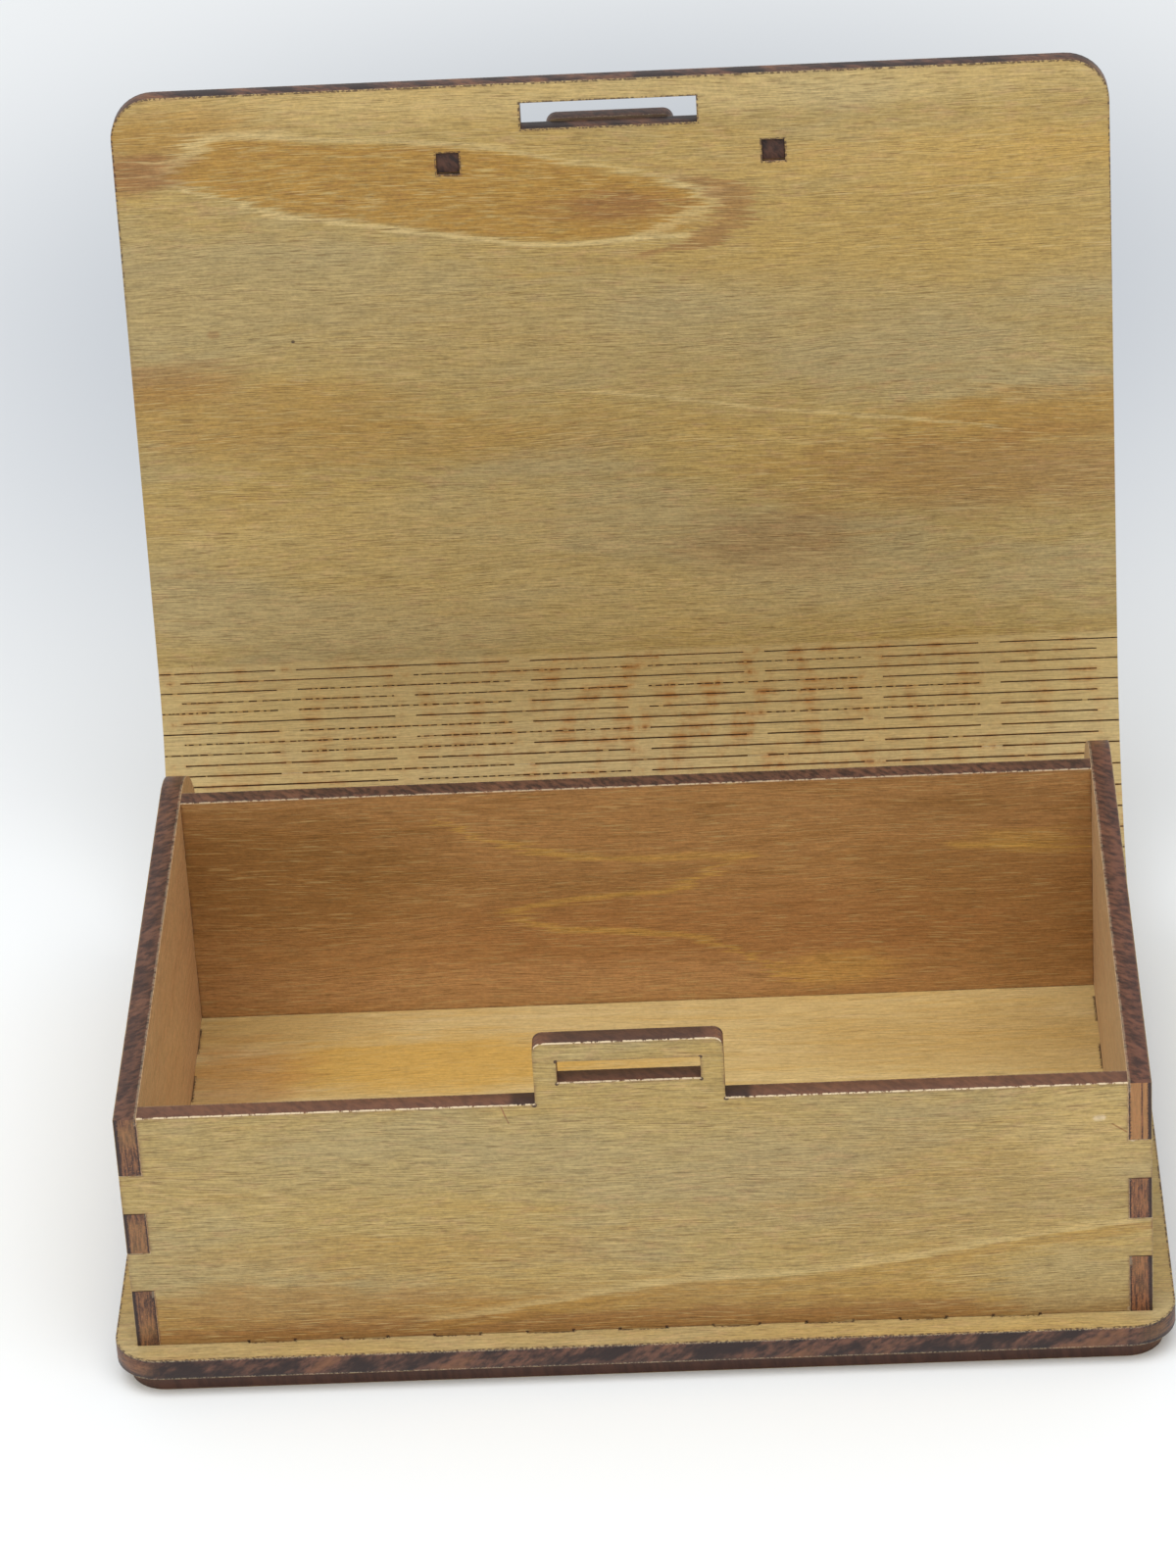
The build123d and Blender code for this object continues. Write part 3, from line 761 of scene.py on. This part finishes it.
def back_figure(veneer, look, burn):
    """Figure of the back wall: brown veneer with a folded golden line."""
    nodes = veneer.nodes
    veneer.colour = nodes.mix(0.86, veneer.colour, look.inside)
    veneer.paint(nodes.step(veneer.streak, 0.48, 0.7), look.umber, 0.4)
    veneer.paint(nodes.step(veneer.patch, 0.5, 0.36), look.umber, 0.35)
    veneer.stains((
        ((-50.0, 23.0), (22.0, 10.0), look.umber, 0.6),
        ((50.0, 15.0), (20.0, 12.0), look.umber, 0.4),
        ((10.0, 11.0), (40.0, 7.0), look.russet, 0.3),
        ((-10.0, 4.0), (44.0, 3.4), look.tawny_with_painted_light, 0.25),
        ((27.0, 4.5), (8.0, 2.6), look.honey, 0.45),
        ((52.0, 24.5), (8.0, 1.6), look.honey, 0.4)))
    for ends, points in (
            ((-26.0, 14.0), [(-30.0, 33.0), (-26.0, 30.0), (-20.0, 27.0), (-14.0, 25.4), (-7.0, 24.0),
                             (12.0, 23.4), (20.0, 23.2)]),
            ((-17.0, 10.0), [(-18.5, 15.4), (-12.0, 16.9), (-4.0, 17.7), (3.0, 18.2), (8.0, 20.2),
                             (12.0, 22.2)]),
            ((-16.0, 22.0), [(-18.5, 14.6), (-12.0, 12.6), (-4.0, 11.8), (4.0, 11.0), (10.0, 9.4),
                             (16.0, 6.2), (22.0, 3.0)]),
            ((44.0, 60.0), [(45.0, 23.6), (52.0, 23.0), (62.0, 22.4)])):
        veneer.paint(veneer.line(points, 0.85, ends, veneer.y), look.honey, 0.55)


def side_figure(veneer, look, burn):
    """Side walls: brown inside, tan outside. The inside brown is painted lighter than the wood, as painted
    light on the inner faces.
    """
    nodes = veneer.nodes
    outside = nodes.step(veneer.depth, 1.0, 2.0)
    # Inner face: streaked brown veneer, lightened as painted light
    brown = nodes.mix(0.8, veneer.colour, look.tawny_with_painted_light)
    brown = nodes.mix(nodes.step(veneer.streak, 0.46, 0.68, to=0.3), brown, look.russet)
    veneer.colour = nodes.mix(outside, brown, veneer.colour)


def bolt_figure(veneer, look, burn):
    """The bolt's inner side, painted grey-brown."""
    veneer.paint(veneer.nodes.step(veneer.depth, 0.8, 0.4), burn.bolt_inner_grey, 0.85)


def finishes(context):
    """Colours of the veneer and of the burns."""
    return context.scene.book_box.veneer, context.scene.book_box.burn


class BookBoxCover(bpy.types.Operator):
    """Dresses the cover sheet: floor, hinge strips and lid."""
    bl_idname = "book_box.cover"
    bl_label = "Cover"

    def execute(self, context):
        look, burn = finishes(context)
        material = plywood("cover_veneer", look, burn, (2.0, 4.0, 0.0), figure=cover_figure, lean=0.9,
                           patches=0.95, rim=0.35, burnt=(0.96, 0.96, 0.96), singe=0.75)
        dressed_sheet("cover_floor", "base_cover", cover_place(0), material, burn.arris, burn.scorch_width,
                      HINGE_START)
        for number in range(1, len(LINES)):
            dressed_sheet(f"cover_strip_{number:02d}", f"hinge_strip_{number:02d}", cover_place(number),
                          material, 0.0, 0.0)
        dressed_sheet("cover_lid", "lid", cover_place(len(LINES)), material, burn.arris, burn.scorch_width,
                      HINGE_END)
        return {"FINISHED"}


def slits(row):
    """Ends in millimetres of the slits in a row of the hinge."""
    shift = 0.0 if row % 2 else 0.5
    edge = (floor_high.x - floor_low.x) / MM / 2
    bridges = [CELL * (i + shift) for i in range(-3, 4) if abs(CELL * (i + shift)) < edge]
    ends = sorted([x + side * BRIDGE / 2 for x in bridges for side in (-1, 1)])
    if row % 2:
        return list(zip(ends[1:-1:2], ends[2::2]))
    ends = [-edge, *ends, edge]
    return list(zip(ends[::2], ends[1::2]))


def add_block(bm, place, low, high):
    """A box between two places in a sheet, in millimetres."""
    origin, along, across, into, start = place
    corners = []
    for k in range(8):
        x, y, z = (high[i] if k >> i & 1 else low[i] for i in range(3))
        offset = (Vector((x, y, z)) - start) * MM
        corners.append(bm.verts.new(origin + along * offset.x + across * offset.y + into * offset.z))
    faces = ((0, 2, 3, 1), (4, 5, 7, 6), (0, 1, 5, 4), (2, 6, 7, 3), (0, 4, 6, 2), (1, 3, 7, 5))
    made = [bm.faces.new([corners[i] for i in face]) for face in faces]
    bmesh.ops.recalc_face_normals(bm, faces=made)


class BookBoxFibresLeft(bpy.types.Operator):
    """Leaves some fibres uncut in the slits of the hinge, and soot at the bottom of each slit."""
    bl_idname = "book_box.fibres"
    bl_label = "Uncut fibres"

    def execute(self, context):
        look, burn = finishes(context)
        fibres = context.scene.book_box.fibres
        materials = []
        for name, tint in (("uncut_fibre", look.tan), ("slit_soot", burn.scald)):
            material, nodes, shader = new_material(name, roughness=0.8, specular=0.5)
            place = nodes.add("ShaderNodeTexCoord").outputs["Object"]
            smoke = nodes.step(nodes.noise(place, (300.0, 1400.0, 1400.0), detail=3.0), 0.45, 0.7, to=0.6)
            nodes.feed(shader, "Base Color", nodes.mix(smoke, tint, burn.stain))
            materials.append(material)
        draw = random.Random(fibres.seed)
        made = [(bmesh.new(), bmesh.new()) for _ in LINES]
        for row in range(2 * len(LINES) - 1):
            number = min(row // 2 + 1, len(LINES) - 1)
            place, (dashes, soot) = cover_place(number), made[number]
            v = HINGE_START + HALF * row
            for start, end in slits(row):
                top, bottom = SOOT_DEPTHS
                add_block(soot, place, (start, v - CLEAR_SLIT, top), (end, v + HALF_SLIT, bottom))
                if row % 2 == 0 and number > 1 and number == row // 2 + 1:
                    # A bending line opens outwards, so the strip before it carries soot too
                    top, bottom = BACK_SOOT_DEPTHS
                    add_block(made[number - 1][1], cover_place(number - 1), (start, v - HALF_SLIT, top),
                              (end, v + CLEAR_SLIT, bottom))
                # More slits are dashed in the left half, as in the photo
                dashed_share, stray_share = (0.55, 0.12) if start + end < 2 * LEFT_HALF else (0.1, 0.03)
                dashed = draw.random() < dashed_share
                thin = draw.uniform(0.6, 1.3)
                u = start + draw.uniform(0.2, 0.8)
                while u < end - CLEAR_END:
                    length = fibres.dash / MM * draw.uniform(0.4, 1.5)
                    if dashed or draw.random() < stray_share:
                        top = draw.choice(FIBRE_TOPS)
                        add_block(dashes, place, (u, v - CLEAR_SLIT, top),
                                  (min(u + length, end), v + HALF_SLIT, top + FIBRE_THICKNESS))
                    u += length + thin * draw.uniform(0.3, 1.5)
        for number in range(1, len(LINES)):
            body = frame["nodes"][f"hinge_strip_{number:02d}"]["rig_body"]
            for bm, name, material in zip(made[number], ("fibres", "soot"), materials):
                finished(bm, f"slit_{name}_{number:02d}", material, body)
        return {"FINISHED"}


class BookBoxWalls(bpy.types.Operator):
    """Dresses the four walls."""
    bl_idname = "book_box.walls"
    bl_label = "Walls"

    def execute(self, context):
        look, burn = finishes(context)
        front = plywood("front_veneer", look, burn, (31.0, 12.0, 5.0), (0.98, 0.965, 0.935),
                        (1.1, 1.06, 0.95), warmth=-0.01, grain=1.1, figure=front_figure, fringe=0.95,
                        patches=0.1, plain=0.5)
        back = plywood("back_veneer", look, burn, (77.0, 40.0, 2.0), warmth=0.06, grain=0.9,
                       figure=back_figure, fringe=0.5)
        left = plywood("left_veneer", look, burn, (15.0, 71.0, 9.0), (1.03, 1.04, 1.16), figure=side_figure,
                       fringe=0.2, patches=0.4, rim=0.1)
        right = plywood("right_veneer", look, burn, (15.0, 71.0, 9.0), (1.0, 1.11, 1.38), (1.06, 0.96, 0.94),
                        figure=side_figure, fringe=0.2, patches=0.3, rim=0.1, golden=(-2.7, 30.7))
        foot, up, rearwards = floor_high.z, (0, 0, 1), (0, 1, 0)
        for name, node, material, place in (
                ("wall_front", "front_wall", front,
                 sheet_place((0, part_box("front_wall")[0].y, foot), ACROSS, up, rearwards)),
                ("wall_back", "back_wall", back,
                 sheet_place((0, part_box("back_wall")[0].y, foot), ACROSS, up, rearwards)),
                ("wall_left", "left_wall", left,
                 sheet_place((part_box("left_wall")[1].x, 0, foot), rearwards, up, (-1, 0, 0))),
                ("wall_right", "right_wall", right,
                 sheet_place((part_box("right_wall")[0].x, 0, foot), rearwards, up, (1, 0, 0), (37.0, 0, 0)))):
            dressed_sheet(name, node, place, material, burn.arris, burn.scorch_width)
        return {"FINISHED"}


class BookBoxPlate(bpy.types.Operator):
    """Dresses the lower board."""
    bl_idname = "book_box.plate"
    bl_label = "Lower board"

    def execute(self, context):
        look, burn = finishes(context)
        material = plywood("plate_veneer", look, burn, (52.0, 23.0, 3.0), lean=0.15, patches=0.15, rim=0.1,
                           plain=0.5, burnt=(0.6, 0.54, 0.54))
        place = sheet_place((0, 0, 0), ACROSS, (0, 1, 0), (0, 0, 1))
        dressed_sheet("lower_board", "bottom_plate", place, material, burn.arris, burn.scorch_width)
        return {"FINISHED"}


class BookBoxLatch(bpy.types.Operator):
    """Dresses the bolt and its guide on the lid."""
    bl_idname = "book_box.latch"
    bl_label = "Latch"

    def execute(self, context):
        look, burn = finishes(context)
        material = plywood("latch_veneer", look, burn, (91.0, 8.0, 7.0), rim=0.6)
        bolt = plywood("bolt_veneer", look, burn, (91.0, 8.0, 7.0), rim=0.6, figure=bolt_figure)
        pegs = plywood("peg_veneer", look, burn, (19.0, 3.0, 7.0), burnt=(0.6, 0.58, 0.58), rim=0.0,
                       patches=0.0)
        outward = outwards(LID_DIRECTION)
        pieces = ("latch_guide", "latch_cover", "latch_bolt", "thumb_pad", "latch_pegs", "grip_stem")
        for number, node in enumerate(pieces):
            # The pegs and the stem are cut from a sheet that stands on the lid
            upright = node in ("latch_pegs", "grip_stem")
            into, across = (LID_DIRECTION, outward) if upright else (outward, LID_DIRECTION)
            low = min((v.co - LINES[-1]).dot(into) for v in frame["nodes"][node].data.vertices)
            place = sheet_place(LINES[-1] + into * low, ACROSS, across, into, (17.0 * number, 0, 0))
            veneer = pegs if upright else bolt if node == "latch_bolt" else material
            scorch_width = 0.0 if upright else burn.scorch_width
            dressed_sheet("dressed_" + node, node, place, veneer, burn.arris, scorch_width)
        return {"FINISHED"}


class BookBoxStage(bpy.types.Operator):
    """Makes the floor, the lamp, the even light and the camera."""
    bl_idname = "book_box.stage"
    bl_label = "Stage"

    def execute(self, context):
        studio = context.scene.book_box.studio
        material, nodes, shader = new_material("studio_floor", roughness=0.9, specular=0.1)
        place = nodes.add("ShaderNodeTexCoord").outputs["Object"]
        # Painted shadow: the floor turns grey towards the spot behind the lid
        away = nodes.add("ShaderNodeVectorMath", {0: place, 1: PAINTED_SHADOW_SPOT}, operation="DISTANCE").outputs[1]
        painted_shadow = nodes.math("POWER", nodes.step(away, *PAINTED_SHADOW_REACH), 1.5)
        nodes.feed(shader, "Base Color", nodes.mix(painted_shadow, studio.floor, studio.floor_painted_shadow))
        bm = bmesh.new()
        bmesh.ops.create_grid(bm, x_segments=1, y_segments=1, size=FLOOR_REACH)
        floor = meshed(bm, "studio_floor", material)

        lamp = bpy.data.lights.new("softbox", "AREA")
        lamp.shape = "RECTANGLE"
        lamp.size, lamp.size_y = SOFTBOX_SIZE
        lamp.energy = studio.lamp
        softbox = new_object("softbox", lamp)
        softbox.location = studio.lamp_place
        softbox.rotation_euler = (LAMP_AIM - softbox.location).to_track_quat("-Z", "Y").to_euler()

        world = bpy.data.worlds.new("even_light")
        world.use_nodes = True
        background = world.node_tree.nodes["Background"]
        background.inputs["Color"].default_value = (*WHITE, 1)
        background.inputs["Strength"].default_value = studio.sky
        context.scene.world = world

        lens = bpy.data.cameras.new("camera")
        lens.lens = studio.lens
        lens.sensor_width = SENSOR_WIDTH
        camera = new_object("camera", lens)
        camera.location = studio.camera_place
        camera.rotation_euler = Euler(studio.camera_turn)
        context.scene.camera = camera
        context.scene.view_settings.view_transform = "Standard"
        return {"FINISHED"}


STEPS = (BookBoxStage, BookBoxCover, BookBoxFibresLeft, BookBoxWalls, BookBoxPlate, BookBoxLatch)


class BookBoxPanel(bpy.types.Panel):
    """Lists the steps and the settings."""
    bl_idname = "VIEW3D_PT_book_box"
    bl_label = "Book Box"
    bl_space_type = "VIEW_3D"
    bl_region_type = "UI"
    bl_category = "Book Box"

    def draw(self, context):
        for step in STEPS:
            self.layout.operator(step.bl_idname)
        settings = context.scene.book_box
        for group in (settings.veneer, settings.burn, settings.fibres, settings.studio):
            box = self.layout.box()
            for name in group.bl_rna.properties.keys():
                if name not in ("rna_type", "name"):
                    box.prop(group, name)


CLASSES = (BookBoxVeneer, BookBoxBurn, BookBoxFibres, BookBoxStudio, BookBoxSettings, *STEPS, BookBoxPanel)


def register():
    for cls in CLASSES:
        bpy.utils.register_class(cls)
    bpy.types.Scene.book_box = PointerProperty(type=BookBoxSettings)


def unregister():
    del bpy.types.Scene.book_box
    for cls in reversed(CLASSES):
        bpy.utils.unregister_class(cls)


def main():
    register()
    bpy.ops.book_box.stage()
    bpy.ops.book_box.cover()
    bpy.ops.book_box.fibres()
    bpy.ops.book_box.walls()
    bpy.ops.book_box.plate()
    bpy.ops.book_box.latch()


if __name__ == "__main__":
    main()
